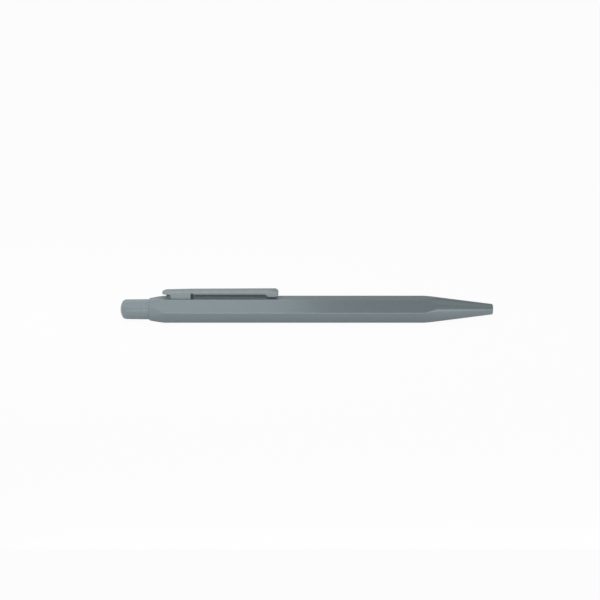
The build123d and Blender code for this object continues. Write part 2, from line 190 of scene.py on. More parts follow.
mouth_slope = math.tan(mouth_angle)
nose_slope = math.tan(nose_angle)
clear_radius = edge_centre + edge_radius + edge_softness
least_flat_radius = flat_radius - 2 * edge_softness
mouth_cone_front = mouth + (clear_radius - mouth_radius) / mouth_slope
nose_cone_rear = nose - (clear_radius - nose_radius) / nose_slope
nose_cone_round = nose - (least_flat_radius - nose_radius) / nose_slope
mouth_end = rounded_rim(mouth, mouth_radius, mouth_angle, mouth_rim, -1)
nose_end = rounded_rim(nose, nose_radius, nose_angle, nose_rim, 1)
thread_front = housing_high.x + end_play
thread_rear = housing_high.x - thread_length
refill_bore_front = nose - (refill_bore + refill_bore_wall - nose_radius) / nose_slope
spring_seat = nose - (spring_bore + spring_bore_wall - nose_radius) / nose_slope

mouth_places = spread(mouth_end[-1][0], mouth_cone_front, mouth_steps)[1:]
bar_places = spread(mouth_cone_front, nose_cone_rear, bar_steps)[1:]
scallop_places = spread(nose_cone_rear, nose_cone_round, scallop_steps)[1:]
nose_places = spread(nose_cone_round, nose_end[-1][0], nose_steps)[1:-1]
outside = list(mouth_end)
outside += [(place, mouth_radius + (place - mouth) * mouth_slope) for place in mouth_places]
outside += [(place, clear_radius) for place in bar_places]
outside += [(place, nose_radius + (nose - place) * nose_slope) for place in scallop_places + nose_places]
outside += reversed(nose_end)
inside = [
    (nose, tip_hole),
    (spring_seat, tip_hole),
    (spring_seat, spring_bore),
    (refill_bore_front + spring_bore_taper, spring_bore),
    (refill_bore_front, refill_bore),
    (thread_front, refill_bore),
    (thread_front, thread_bore),
    (thread_rear, thread_bore),
    (thread_rear, button_bore),
    (mouth, button_bore),
]
barrel = loft("barrel_shell", [bar_ring(*station) for station in outside + inside], closed=True)


class Shade:
    """An output of one of a material's nodes; sums, differences and products become Math nodes."""

    def __init__(self, tree, output=None):
        self.tree = tree
        self.output = output

    def node(self, kind, settings=None, sockets=None, output=0):
        """Adds a node of a kind: its settings first, then the values or links of its sockets."""
        made = self.tree.nodes.new(kind)
        for name, value in (settings or {}).items():
            setattr(made, name, value)
        for name, value in (sockets or {}).items():
            if isinstance(value, Shade):
                self.tree.links.new(value.output, made.inputs[name])
            else:
                made.inputs[name].default_value = value
        return Shade(self.tree, made.outputs[output] if made.outputs else None)

    def math(self, operation, first, second):
        return self.node("ShaderNodeMath", {"operation": operation}, {0: first, 1: second})

    def __add__(self, other):
        return self.math("ADD", self, other)

    def __radd__(self, other):
        return self.math("ADD", other, self)

    def __sub__(self, other):
        return self.math("SUBTRACT", self, other)

    def __rsub__(self, other):
        return self.math("SUBTRACT", other, self)

    def __mul__(self, other):
        return self.math("MULTIPLY", self, other)

    def __rmul__(self, other):
        return self.math("MULTIPLY", other, self)


def new_finish(name):
    """Material with no nodes yet but each point's place on the pen."""
    material = bpy.data.materials.new(name)
    material.use_nodes = True
    material.node_tree.nodes.clear()
    return material, Shade(material.node_tree).node("ShaderNodeTexCoord", output="Object")


def speckle(place, per_metre, detail=2.0):
    """Cloudy change from 0 to 1 with so many specks in a metre along each axis."""
    spot = place.node("ShaderNodeVectorMath", {"operation": "MULTIPLY"}, {0: place, 1: per_metre})
    return place.node("ShaderNodeTexNoise", {}, {"Vector": spot, "Scale": 1.0, "Detail": detail})


def step_up(value, low, high):
    """Smooth step from 0 at low to 1 at high."""
    ends = {"Value": value, "From Min": low, "From Max": high}
    return value.node("ShaderNodeMapRange", {"interpolation_type": "SMOOTHSTEP"}, ends)


def mix_colours(share, first, second):
    """Colour that goes from the first to the second as share goes from 0 to 1."""
    return share.node("ShaderNodeMix", {"data_type": "RGBA"}, {0: share, 6: first, 7: second}, 2)


def shaded(colour, light):
    """A colour made lighter or darker, as a socket takes it."""
    return (*[part * light for part in colour], 1.0)


def axis_radius(place):
    """Distance of each point from the pen's axis."""
    square = {0: place, 1: (0, 1, 1), 2: (0, 0, -axis_height)}
    across = place.node("ShaderNodeVectorMath", {"operation": "MULTIPLY_ADD"}, square)
    return place.node("ShaderNodeVectorMath", {"operation": "LENGTH"}, {0: across}, "Value")


def surface(place, sockets, grain, grain_height):
    """Surface of a material, with its relief in metres."""
    relief = {"Strength": 1.0, "Distance": grain_height, "Height": grain}
    bumps = place.node("ShaderNodeBump", {}, relief, "Normal")
    skin = place.node("ShaderNodeBsdfPrincipled", {}, {**sockets, "Normal": bumps})
    place.node("ShaderNodeOutputMaterial", {}, {"Surface": skin})


coat_colour = (0.2, 0.245, 0.262)
coat_metal = 0.3
coat_roughness = 0.22
coat_relief = 2.5e-6
cloud_specks = (60, 160, 160)
cloud_dark = 0.96
cloud_light = 1.04
peel_specks = (2200, 2600, 2600)
grit_specks = (15000, 15000, 15000)
grit_detail = 1.0
grit_matting = 0.08
grit_relief_share = 0.4
drawn_lines = (90, 3200, 3200)
drawn_matting = 0.06
drawn_relief_share = 0.3
wear_and_highlight_tint = 1.25
wear_and_highlight_share = 0.3
rubbed_polish = 0.06
painted_shade_dark = 0.2
painted_shade_share = 0.75
painted_shade_matting = 0.5


def satin_coat(place, colour, wear_and_highlight, painted_shade=0.0, lay=drawn_lines):
    """Sprayed satin coating: cloudy, with orange peel and matting grain. It is rubbed smoother and
    lighter in places, partly wear and partly painted highlight, and painted shade makes it dark, matt
    and less metallic where its mask says."""
    cloud = speckle(place, cloud_specks)
    peel = speckle(place, peel_specks)
    grit = speckle(place, grit_specks, grit_detail)
    drawn = speckle(place, lay)
    tone = mix_colours(cloud, shaded(colour, cloud_dark), shaded(colour, cloud_light))
    # Lighter where worn, which along the barrel's edges is also a painted highlight.
    tone = mix_colours(wear_and_highlight * wear_and_highlight_share, tone, shaded(colour, wear_and_highlight_tint))
    # Painted shade: darker, matt and less metallic where the mask says.
    if painted_shade:
        tone = mix_colours(painted_shade * painted_shade_share, tone, shaded(colour, painted_shade_dark))
    roughness = coat_roughness + grit_matting * grit + drawn_matting * drawn
    sockets = {
        "Base Color": tone,
        "Roughness": roughness - rubbed_polish * wear_and_highlight + painted_shade_matting * painted_shade,
        "Metallic": coat_metal * (1 - painted_shade),
    }
    relief = peel + grit_relief_share * grit + drawn_relief_share * drawn
    surface(place, sockets, relief, coat_relief)


# The coating is lighter and smoother along the bar's edges, partly wear and partly painted highlight,
# and painted shade darkens the top flat under the clip's arm, more towards its far side.
edge_wear_and_highlight_start = 4.68e-3
edge_wear_and_highlight_full = 4.84e-3
arm_shade_share = 0.6
arm_shade_depth = 0.1e-3
arm_shade_skin = 0.02e-3
arm_shade_start = -0.6e-3
arm_shade_full = 0.9e-3
arm_shade_fade = 0.3e-3
arm_shade_end_fade = 1e-3
barrel_coat, place = new_finish("barrel_coat")
along = place.node("ShaderNodeSeparateXYZ", {}, {0: place}, "X")
across = place.node("ShaderNodeSeparateXYZ", {}, {0: place}, "Y")
up = place.node("ShaderNodeSeparateXYZ", {}, {0: place}, "Z")
arm_shade_low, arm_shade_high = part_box("clip_arm")
# Painted shade: the top flat under the clip's arm is darkened, more towards its far side.
painted_shade_under_arm = arm_shade_share * step_up(up, barrel_high.z - arm_shade_depth, barrel_high.z - arm_shade_skin)
painted_shade_under_arm *= step_up(across, arm_shade_start, arm_shade_full)
painted_shade_under_arm *= 1 - step_up(across, arm_shade_high.y - arm_shade_fade, arm_shade_high.y)
painted_shade_under_arm *= step_up(along, arm_shade_low.x - arm_shade_fade, arm_shade_low.x)
painted_shade_under_arm *= 1 - step_up(along, arm_shade_high.x - arm_shade_end_fade, arm_shade_high.x)
# Wear and painted highlight: the hexagon's edges are lighter and smoother.
edge_wear_and_highlight = step_up(axis_radius(place), edge_wear_and_highlight_start, edge_wear_and_highlight_full)
satin_coat(place, coat_colour, edge_wear_and_highlight, painted_shade_under_arm)
barrel.data.materials.append(barrel_coat)
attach(barrel, "barrel")
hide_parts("barrel")


# Clip: one strip of spring steel folded into a channel and coated like the barrel. Its foot stands on
# the top flat, held by two tabs, round a tongue whose rounded heel shows under the thin tail. The lips
# of the sprung arm curl in round a stiffening rib, from a relief notch by the foot to the end's pad.
# The rib, the arm's downward faces and the tongue, which reaches out past the foot, are coloured dark
# as painted shade.
foot_low, foot_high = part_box("clip_foot")
arm_low, arm_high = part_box("clip_arm")
clip_rear = foot_low.x
foot_front = foot_high.x
clip_front = arm_high.x
clip_side = foot_high.y
foot_top = foot_high.z
flat_top = barrel_high.z
clip_sheet = 0.55e-3
clip_bend = 0.45e-3
sheet_edge = 0.04e-3
foot_rise = 0.19e-3
arm_rise = 0.14e-3
arm_gap = 0.99e-3
lip_width = 1.1e-3
lip_radius = 1.0e-3
relief_length = 1.0e-3
relief_height = 0.4e-3
rib_depth = 0.34e-3
rib_room = 0.3e-3
tail_slope = 1.5e-3
tail_drop = 0.5e-3
tail_gap = 1.5e-3
tail_end_gap = 1.7e-3
tail_length = 2.8e-3
tail_corner = 0.6e-3
foot_lean = 0.35e-3
heel_length = 1.45e-3
heel_flat = 0.4e-3
heel_corner = 1.1e-3
tongue_width = 1.2e-3
tongue_reach = 1.1e-3
pad_length = 4.6e-3
pad_slope = 1.0e-3
pad_edge = 0.3e-3
end_slope = 0.8e-3
end_drop = 0.6e-3
end_gap = 1.5e-3
end_corner = 0.35e-3
bend_steps = 6
corner_start = 0.12
corner_steps = 7
notch_steps = 12
arm_steps = 22
heel_steps = 10
clip_softness = 0.06e-3
softened_segments = 2
softened_angle = math.radians(40)
clip_colour = (0.22, 0.262, 0.275)
rib_side = 0.02e-3
rib_fade = 0.1e-3
underside_start = 0.05
underside_full = 0.6
heel_unshaded_share = 0.6
heel_shade_share = 0.9
heel_shade_start = 0.3e-3
heel_shade_full = 1.1e-3
tongue_specks = (300, 300, 300)


def corner(across, up, radius, turns):
    """Rounded corner of the clip's section, about a centre."""
    return [(across + radius * math.cos(turn), up + radius * math.sin(turn)) for turn in turns]


def clip_ring(place, top, under, hollow, wall=clip_sheet, toe=sheet_edge, trim=0.0):
    """Ring round the folded channel at a place along the clip, trimmed a little at each side."""
    side = clip_side - trim
    bend = min(clip_bend, (top - under) / 2)
    lower = corner(side - toe, under + toe, toe, spread(-math.pi / 2, 0, bend_steps))
    upper = corner(side - bend, top - bend, bend, spread(0, math.pi / 2, bend_steps))
    near = lower + upper
    far = [(-across, up) for across, up in reversed(near)]
    inside = side - wall
    channel = [(-inside, under), (-inside, hollow), (inside, hollow), (inside, under)]
    return [Vector((place, across, up)) for across, up in near + far + channel]


def solid_ring(place, top, under, toe=sheet_edge, trim=0.0):
    """Ring round the clip where it is not hollow."""
    return clip_ring(place, top, under, under, toe=toe, trim=trim)


def between(share, first, second):
    """Value a share of the way from the first to the second."""
    return first + (second - first) * share


def arm_top(place):
    """Height of the arm's top at a place along it."""
    return foot_top + arm_rise * (place - foot_front) / (clip_front - foot_front)


foot_rear = clip_rear + tail_length
heel_rear = foot_rear - heel_length
tail_front = clip_rear + tail_slope
tail_top = foot_top - foot_rise
tail_under = flat_top + tail_gap
tail_end_under = flat_top + tail_end_gap
arm_under = flat_top + arm_gap
end_under = flat_top + end_gap
pad_rear = clip_front - pad_length
pad_front = clip_front - pad_slope


def tail_ring(way):
    """Ring round the closed tail, which is rounded in plan at its rear."""
    back = tail_corner * math.sin(way)
    place = clip_rear + back
    trim = tail_corner * (1 - math.cos(math.pi / 2 - way))
    top = between(back / tail_slope, tail_top - tail_drop, tail_top)
    under = between(back / tail_length, tail_end_under, tail_under)
    return solid_ring(place, top, under, trim=trim)


def end_ring(way):
    """Ring round the free end, which is rounded in plan and slopes down from the top to its edge."""
    ahead = end_corner * math.sin(way)
    place = clip_front - ahead
    trim = end_corner * (1 - math.cos(math.pi / 2 - way))
    top = arm_top(place) - end_drop * max(1 - ahead / end_slope, 0)
    under = between(ahead / pad_slope, end_under, arm_low.z)
    toe = between(ahead / pad_slope, sheet_edge, pad_edge)
    return solid_ring(place, top, under, toe, trim)


corner_ways = spread(corner_start, math.pi / 2, corner_steps)
tail_front_under = between(tail_slope / tail_length, tail_end_under, tail_under)
clip_rings = [tail_ring(way) for way in corner_ways]
clip_rings += [
    solid_ring(tail_front, tail_top, tail_front_under),
    clip_ring(tail_front, tail_top, tail_front_under, tail_top - clip_sheet),
    clip_ring(foot_rear, tail_top, tail_under, tail_top - clip_sheet),
    clip_ring(foot_rear + foot_lean, tail_top, flat_top, tail_top - clip_sheet),
    clip_ring(foot_front, foot_top, flat_top, foot_top - clip_sheet),
]
rib_rear = foot_front + tongue_reach + rib_room
lip_steps = []
for way in spread(0, math.pi, notch_steps):
    notch = foot_front + relief_length * (1 - math.cos(way)) / 2
    lip_steps.append((notch, arm_under + relief_height * math.sin(way), False))
lip_steps.append((rib_rear, arm_under, False))
lip_steps += [(place, arm_under, True) for place in spread(rib_rear, pad_rear, arm_steps)]
for place, under, ribbed in lip_steps:
    top = arm_top(place)
    ceiling = arm_under - rib_depth if ribbed else top - clip_sheet
    clip_rings.append(clip_ring(place, top, under, ceiling, lip_width, lip_radius))
clip_rings += [
    solid_ring(pad_rear + pad_slope, arm_top(pad_rear + pad_slope), arm_low.z, pad_edge),
    solid_ring(pad_front, arm_top(pad_front), arm_low.z, pad_edge),
]
clip_rings += [end_ring(way) for way in reversed(corner_ways)]
clip = loft("clip_strip", clip_rings)
softened = clip.modifiers.new("softened", "BEVEL")
softened.width = clip_softness
softened.segments = softened_segments
softened.limit_method = "ANGLE"
softened.angle_limit = softened_angle
clip.data = bpy.data.meshes.new_from_object(clip.evaluated_get(bpy.context.evaluated_depsgraph_get()))
clip.modifiers.clear()
smooth(clip.data)
clip_coat, place = new_finish("clip_coat")
across = place.node("ShaderNodeSeparateXYZ", {}, {0: place}, "Y")
from_middle = place.node("ShaderNodeMath", {"operation": "ABSOLUTE"}, {0: across})
facing = place.node("ShaderNodeNewGeometry", output="Normal")
facing_up = place.node("ShaderNodeSeparateXYZ", {}, {0: facing}, "Z")
up = place.node("ShaderNodeSeparateXYZ", {}, {0: place}, "Z")
# Painted shade: the rib and every face that looks down are dark, matt and not metallic.
lip_inside = clip_side - lip_width
rib_painted_shade = 1 - step_up(from_middle, lip_inside + rib_side, lip_inside + rib_fade)
rib_painted_shade *= 1 - step_up(up, arm_under, arm_under + rib_fade)
underside_painted_shade = step_up(-1 * facing_up, underside_start, underside_full)
rib_and_underside_shade = 1 - (1 - rib_painted_shade) * (1 - underside_painted_shade)
rubbed_bends = step_up(from_middle, clip_side - clip_bend, clip_side)
satin_coat(place, clip_colour, rubbed_bends, rib_and_underside_shade)
clip.data.materials.append(clip_coat)
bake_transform(clip)
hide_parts("clip_foot", "clip_arm")

tongue_half = tongue_width / 2
tongue_top = tail_top - clip_sheet
tongue_front = foot_front + tongue_reach
heel_front = foot_rear + 2 * foot_lean
tongue_steps = [
    (heel_rear + heel_corner * (1 - math.cos(way)), heel_flat / 2 + heel_corner * math.sin(way))
    for way in spread(0, math.pi / 2, heel_steps)
]
tongue_steps += [
    (heel_front, heel_flat / 2 + heel_corner),
    (heel_front, tongue_half),
    (tongue_front - 2 * sheet_edge, tongue_half),
    (tongue_front, tongue_half - 2 * sheet_edge),
]
tongue_rings = []
for place, half in tongue_steps:
    section = [(-half, flat_top), (half, flat_top), (half, tongue_top), (-half, tongue_top)]
    tongue_rings.append([Vector((place, across, up)) for across, up in section])
tongue = loft("clip_tongue", tongue_rings)
tongue_coat, place = new_finish("clip_tongue_coat")
along = place.node("ShaderNodeSeparateXYZ", {}, {0: place}, "X")
up = place.node("ShaderNodeSeparateXYZ", {}, {0: place}, "Z")
# Painted shade: the tongue is dark from the foot forward, and its heel darker towards the top under the
# tail.
tongue_unshaded = heel_unshaded_share * (1 - step_up(along, foot_rear, foot_front))
tongue_unshaded *= 1 - heel_shade_share * step_up(up, flat_top + heel_shade_start, flat_top + heel_shade_full)
satin_coat(place, clip_colour, speckle(place, tongue_specks), 1 - tongue_unshaded)
tongue.data.materials.append(tongue_coat)
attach(tongue, "barrel")
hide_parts("clip_foot")


# Push button: an aluminium cap turned with a domed end and coated like the barrel. It is hollow
# round a boss that the plunger's stem is pressed into, and its skirt slides in the barrel's mouth.
button_low, button_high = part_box("push_button")
button_end = button_low.x
button_front = button_high.x
button_radius = (button_high.z - button_low.z) / 2
button_taper = 0.12e-3
button_dome = 5.5e-3
button_corner = 1.6e-3
skirt_chamfer = 0.08e-3
button_hollow = 2.98e-3
button_end_wall = 1.2e-3
button_cavity = button_end + button_end_wall
boss_length = 2.6e-3
boss_front = button_cavity + boss_length
boss_radius = 2.3e-3
stem_radius = 1.6e-3
dome_steps = 16
round_steps = 128
corner_rub_start = 2.9e-3
corner_rub_full = 3.3e-3
corner_rub_share = 0.3
turned_rings = (3200, 90, 90)


def round_ring(place, radius, steps=round_steps):
    """Plain round ring across the pen."""
    return [axis_point(place, radius, angle) for angle in spread(0, 2 * math.pi, steps)[:-1]]


corner_centre_radius = button_radius - button_taper - button_corner
dome_turn = math.asin(corner_centre_radius / (button_dome - button_corner))
dome_centre = button_end + button_dome
corner_centre = dome_centre - (button_dome - button_corner) * math.cos(dome_turn)
button_profile = [
    (dome_centre - button_dome * math.cos(turn), button_dome * math.sin(turn))
    for turn in spread(0, dome_turn, dome_steps)
]
button_profile += [
    (corner_centre - button_corner * math.cos(turn), corner_centre_radius + button_corner * math.sin(turn))
    for turn in spread(dome_turn, math.pi / 2, dome_steps)[1:]
]
button_profile += [
    (button_front - skirt_chamfer, button_radius),
    (button_front, button_radius - skirt_chamfer),
    (button_front, button_hollow),
    (button_cavity, button_hollow),
    (button_cavity, boss_radius),
    (boss_front, boss_radius),
    (boss_front, stem_radius),
    (button_cavity, stem_radius),
    (button_cavity, 0),
]
button = loft("button_cap", [round_ring(*station) for station in button_profile])
button_coat, place = new_finish("button_coat")
rubbed_corner = step_up(axis_radius(place), corner_rub_start, corner_rub_full) * corner_rub_share
satin_coat(place, coat_colour, rubbed_corner, lay=turned_rings)
button.data.materials.append(button_coat)
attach(button, "button")
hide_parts("push_button")


# Plunger, cam rotor and cam sleeve: small mouldings in natural white plastic, matt from the mould.
# The plunger is pressed into the button, the sleeve into the housing, and the rotor lies loose.
cam_colour = (0.78, 0.78, 0.75)
cam_roughness = 0.4
haze_specks = (700, 700, 700)
haze_dark = 0.94
haze_light = 1.04
mould_specks = (9000, 9000, 9000)
mould_matting = 0.12
mould_relief = 2e-6


def moulded(place, colour, roughness):
    """Moulded plastic: faintly clouded, with the fine grain of a spark-cut mould."""
    haze = speckle(place, haze_specks)
    grain = speckle(place, mould_specks)
    sockets = {
        "Base Color": mix_colours(haze, shaded(colour, haze_dark), shaded(colour, haze_light)),
        "Roughness": roughness + mould_matting * grain,
    }
    surface(place, sockets, grain, mould_relief)


def dress(finish, *nodes):
    """Gives pieces that keep their CAD shape a finish."""
    for node in nodes:
        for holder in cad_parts[node].material_slots:
            holder.material = finish


cam_plastic, place = new_finish("cam_plastic_moulded")
moulded(place, cam_colour, cam_roughness)
dress(cam_plastic, "plunger", "cam_rotor", "cam_sleeve")


# Mechanism housing: a tube turned from brass bar that holds the cam. Its neck guides the button, its
# collar stops at the step in the barrel's bore, and its screw thread goes into the bore behind that.
collar_radius = (housing_high.z - housing_low.z) / 2
collar_length = 1.0e-3
neck_radius = 2.9e-3
neck_reach = 7.1e-3
neck_front = mouth + neck_reach
housing_bore = 2.6e-3
housing_end_wall = 0.8e-3
stem_hole = 1.68e-3
turned_edge = 0.1e-3
thread_pitch = 0.5e-3
thread_depth = 0.22e-3
thread_crest = 0.2
steps_per_pitch = 12
brass_colour = (0.72, 0.53, 0.24)
brass_roughness = 0.22
brass_relief = 1.5e-6
tool_marks = (16000, 400, 400)
tool_mark_detail = 1.0
tool_mark_matting = 0.1
stain_specks = (240, 300, 300)
stain_dark = 0.9
stain_light = 1.05
stain_matting = 0.08


def thread_ring(place):
    """Ring round a right-hand screw thread, which runs out at both ends."""
    run_out = min(max(min(place - thread_rear, housing_high.x - place) / thread_pitch, 0), 1)
    ring = []
    for angle in spread(0, 2 * math.pi, round_steps)[:-1]:
        turns = (place - thread_rear) / thread_pitch + angle / (2 * math.pi)
        groove = 1 - min(abs(2 * (turns % 1) - 1) + thread_crest, 1)
        ring.append(axis_point(place, thread_bore - thread_depth * groove * run_out, angle))
    return ring


def turned_metal(place, colour, roughness, mark_height):
    """Bare metal from the lathe: fine rings of tool marks, lightly stained in places."""
    marks = speckle(place, tool_marks, tool_mark_detail)
    stain = speckle(place, stain_specks)
    sockets = {
        "Base Color": mix_colours(stain, shaded(colour, stain_dark), shaded(colour, stain_light)),
        "Roughness": roughness + tool_mark_matting * marks + stain_matting * stain,
        "Metallic": 1.0,
    }
    surface(place, sockets, marks, mark_height)


collar_rear = thread_rear - collar_length
guide_rear = housing_low.x + housing_end_wall
housing_rings = [
    round_ring(*station)
    for station in [
        (housing_low.x, stem_hole),
        (housing_low.x, neck_radius - turned_edge),
        (housing_low.x + turned_edge, neck_radius),
        (neck_front, neck_radius),
        (neck_front, thread_bore - turned_edge),
        (neck_front + turned_edge, thread_bore),
        (collar_rear, thread_bore),
        (collar_rear, collar_radius - turned_edge),
        (collar_rear + turned_edge, collar_radius),
        (thread_rear - turned_edge, collar_radius),
        (thread_rear, collar_radius - turned_edge),
    ]
]
thread_steps = round((housing_high.x - thread_rear) / thread_pitch * steps_per_pitch)
thread_places = spread(thread_rear, housing_high.x - turned_edge, thread_steps)
housing_rings += [thread_ring(place) for place in thread_places]
housing_rings += [
    round_ring(*station)
    for station in [
        (housing_high.x, thread_bore - turned_edge),
        (housing_high.x, housing_bore),
        (guide_rear, housing_bore),
        (guide_rear, stem_hole),
    ]
]
housing = loft("threaded_housing", housing_rings, closed=True)
turned_brass, place = new_finish("turned_brass")
turned_metal(place, brass_colour, brass_roughness, brass_relief)
housing.data.materials.append(turned_brass)
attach(housing, "barrel")
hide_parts("mechanism_housing")


# Refill: a drawn steel tube with its front end drawn in to a shoulder, crimped round the plug behind
# and the tip holder in front. The plug is moulded in the ink's colour, and the ink is a thick paste.
tube_low, tube_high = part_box("refill_tube")
tube_radius = (tube_high.z - tube_low.z) / 2
tube_wall = 0.25e-3
tube_bore = tube_radius - tube_wall
tube_edge = 0.06e-3
shoulder_round = 0.45e-3
shoulder_wall = 0.6e-3
holder_radius = 1.6e-3
crimp_depth = 0.14e-3
crimp_half = 0.45e-3
plug_crimp = 1.5e-3
holder_crimp = 1.8e-3
crimp_places = (tube_low.x + plug_crimp, tube_high.x - holder_crimp)
crimp_steps = 12
tube_colour = (0.58, 0.58, 0.57)
tube_roughness = 0.24
tube_relief = 1.2e-6
drawing_lines = (120, 5200, 5200)
drawing_matting = 0.12
bloom_specks = (180, 400, 400)
bloom_dark = 0.92
bloom_light = 1.06
bloom_matting = 0.06
plug_colour = (0.03, 0.05, 0.16)
plug_roughness = 0.35
ink_colour = (0.008, 0.015, 0.12)
ink_roughness = 0.08
ink_relief = 1e-5
streak_lines = (90, 600, 600)
streak_dark = 0.8
streak_light = 1.3
streak_matting = 0.1
tube_profile = [
    (tube_low.x, tube_bore),
    (tube_low.x, tube_radius - tube_edge),
    (tube_low.x + tube_edge, tube_radius),
]
for middle in crimp_places:
    tube_profile += [
        (middle + share * crimp_half, tube_radius - crimp_depth * (1 + math.cos(math.pi * share)) / 2)
        for share in spread(-1, 1, crimp_steps)
    ]
tube_profile += [
    (
        tube_high.x - shoulder_round * (1 - math.sin(turn)),
        tube_radius - shoulder_round * (1 - math.cos(turn)),
    )
    for turn in spread(0, math.pi / 2, rim_steps)
]
tube_profile += [
    (tube_high.x, holder_radius),
    (tube_high.x - shoulder_wall, holder_radius),
    (tube_high.x - shoulder_wall, tube_bore),
]
tube = loft("drawn_tube", [round_ring(*station) for station in tube_profile], closed=True)
drawn_steel, place = new_finish("drawn_steel")
drawing = speckle(place, drawing_lines)
bloom = speckle(place, bloom_specks)
sockets = {
    "Base Color": mix_colours(bloom, shaded(tube_colour, bloom_dark), shaded(tube_colour, bloom_light)),
    "Roughness": tube_roughness + drawing_matting * drawing + bloom_matting * bloom,
    "Metallic": 1.0,
}
surface(place, sockets, drawing, tube_relief)
tube.data.materials.append(drawn_steel)
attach(tube, "refill")
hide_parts("refill_tube")
plug_plastic, place = new_finish("plug_plastic_moulded")
moulded(place, plug_colour, plug_roughness)
dress(plug_plastic, "refill_plug")
ink, place = new_finish("ink_paste")
streaks = speckle(place, streak_lines)
sockets = {
    "Base Color": mix_colours(streaks, shaded(ink_colour, streak_dark), shaded(ink_colour, streak_light)),
    "Roughness": ink_roughness + streak_matting * streaks,
}
surface(place, sockets, streaks, ink_relief)
dress(ink, "ink_column")


# Writing point: a tip turned from nickel silver in two cones, with its lip rolled over a hard ball. Its
# shank is pressed into a turned brass holder. It comes out of the nose when the button is pressed.
tip_low, tip_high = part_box("writing_tip")
tip_radius = (tip_high.z - tip_low.z) / 2
tip_shank_radius = 0.95e-3
tip_shank_length = 5.0e-3
tip_cone_length = 4.2e-3
tip_step_share = 0.42
tip_step = 0.05e-3
tip_edge = 0.05e-3
channel_radius = 0.25e-3
socket_radius = 0.52e-3
lip_cover = 0.2e-3
lip_wall = 0.06e-3
lip_roll = 0.1e-3
socket_steps = 10
tip_round_steps = 96
tip_colour = (0.66, 0.62, 0.55)
tip_roughness = 0.18
tip_relief = 1.0e-6
ball_colour = (0.5, 0.5, 0.52)
ball_roughness = 0.06
ball_relief = 2e-7
ball_specks = (30000, 30000, 30000)
ball_dark = 0.95
ball_light = 1.05
ball_matting = 0.06
shank_front = tip_low.x + tip_shank_length
cone_rear = tip_high.x - tip_cone_length
mouth_of_socket = math.sqrt(socket_radius**2 - lip_cover**2)
lip_radius_out = mouth_of_socket + lip_wall
step_place = cone_rear + tip_step_share * tip_cone_length
step_radius = between(tip_step_share, tip_radius, lip_radius_out)
tip_profile = [
    (tip_low.x, channel_radius),
    (tip_low.x, tip_shank_radius - tip_edge),
    (tip_low.x + tip_edge, tip_shank_radius),
    (shank_front, tip_shank_radius),
    (shank_front, tip_radius - tip_edge),
    (shank_front + tip_edge, tip_radius),
    (cone_rear - tip_edge, tip_radius),
    (cone_rear + tip_edge, tip_radius - tip_edge / 2),
    (step_place, step_radius),
    (step_place + tip_step, step_radius - tip_step),
    (tip_high.x - lip_roll, between(1 - lip_roll / tip_cone_length, tip_radius, lip_radius_out)),
    (tip_high.x - lip_roll / 4, lip_radius_out - lip_wall / 4),
    (tip_high.x, mouth_of_socket + lip_wall / 4),
]
socket_middle = tip_high.x - lip_cover
socket_start = math.acos(lip_cover / socket_radius)
socket_end = math.pi - math.asin(channel_radius / socket_radius)
tip_profile += [
    (socket_middle + socket_radius * math.cos(turn), socket_radius * math.sin(turn))
    for turn in spread(socket_start, socket_end, socket_steps)
]
tip_rings = [round_ring(*station, tip_round_steps) for station in tip_profile]
tip = loft("turned_tip", tip_rings, closed=True)
nickel_silver, place = new_finish("nickel_silver")
turned_metal(place, tip_colour, tip_roughness, tip_relief)
tip.data.materials.append(nickel_silver)
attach(tip, "refill")
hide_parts("writing_tip")
dress(turned_brass, "tip_holder")
hard_ball, place = new_finish("ball_polished")
ball_marks = speckle(place, ball_specks)
sockets = {
    "Base Color": mix_colours(ball_marks, shaded(ball_colour, ball_dark), shaded(ball_colour, ball_light)),
    "Roughness": ball_roughness + ball_matting * ball_marks,
    "Metallic": 1.0,
}
surface(place, sockets, ball_marks, ball_relief)
dress(hard_ball, "tip_ball")


# Return spring: hard-drawn steel wire wound into one coil with closed ends, between the refill's
# shoulder and the seat in the nose. It is pressed shorter as the button goes in.
spring_low, spring_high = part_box("return_spring")
wire_radius = 0.19e-3
coil_radius = (spring_high.z - spring_low.z) / 2 - wire_radius
coil_turns = 11
turn_steps = 28
wire_sides = 14
closed_turns = 0.9
opening_turns = 0.5
coil_steps = coil_turns * turn_steps
closed_pitch_share = 2.05
closed_pitch = closed_pitch_share * wire_radius
wire_colour = (0.66, 0.65, 0.63)
wire_roughness = 0.22
wire_relief = 1.5e-6
blued_colour = (0.56, 0.56, 0.55)
blued_specks = (900, 900, 900)
wire_specks = (26000, 9000, 9000)
wire_matting = 0.14


def opened(turn):
    """How far the coil has opened, from 0 at its closed ends to 1 in its middle."""
    share = (min(turn, coil_turns - turn) - closed_turns) / opening_turns
    share = min(max(share, 0), 1)
    return share * share * (3 - 2 * share)


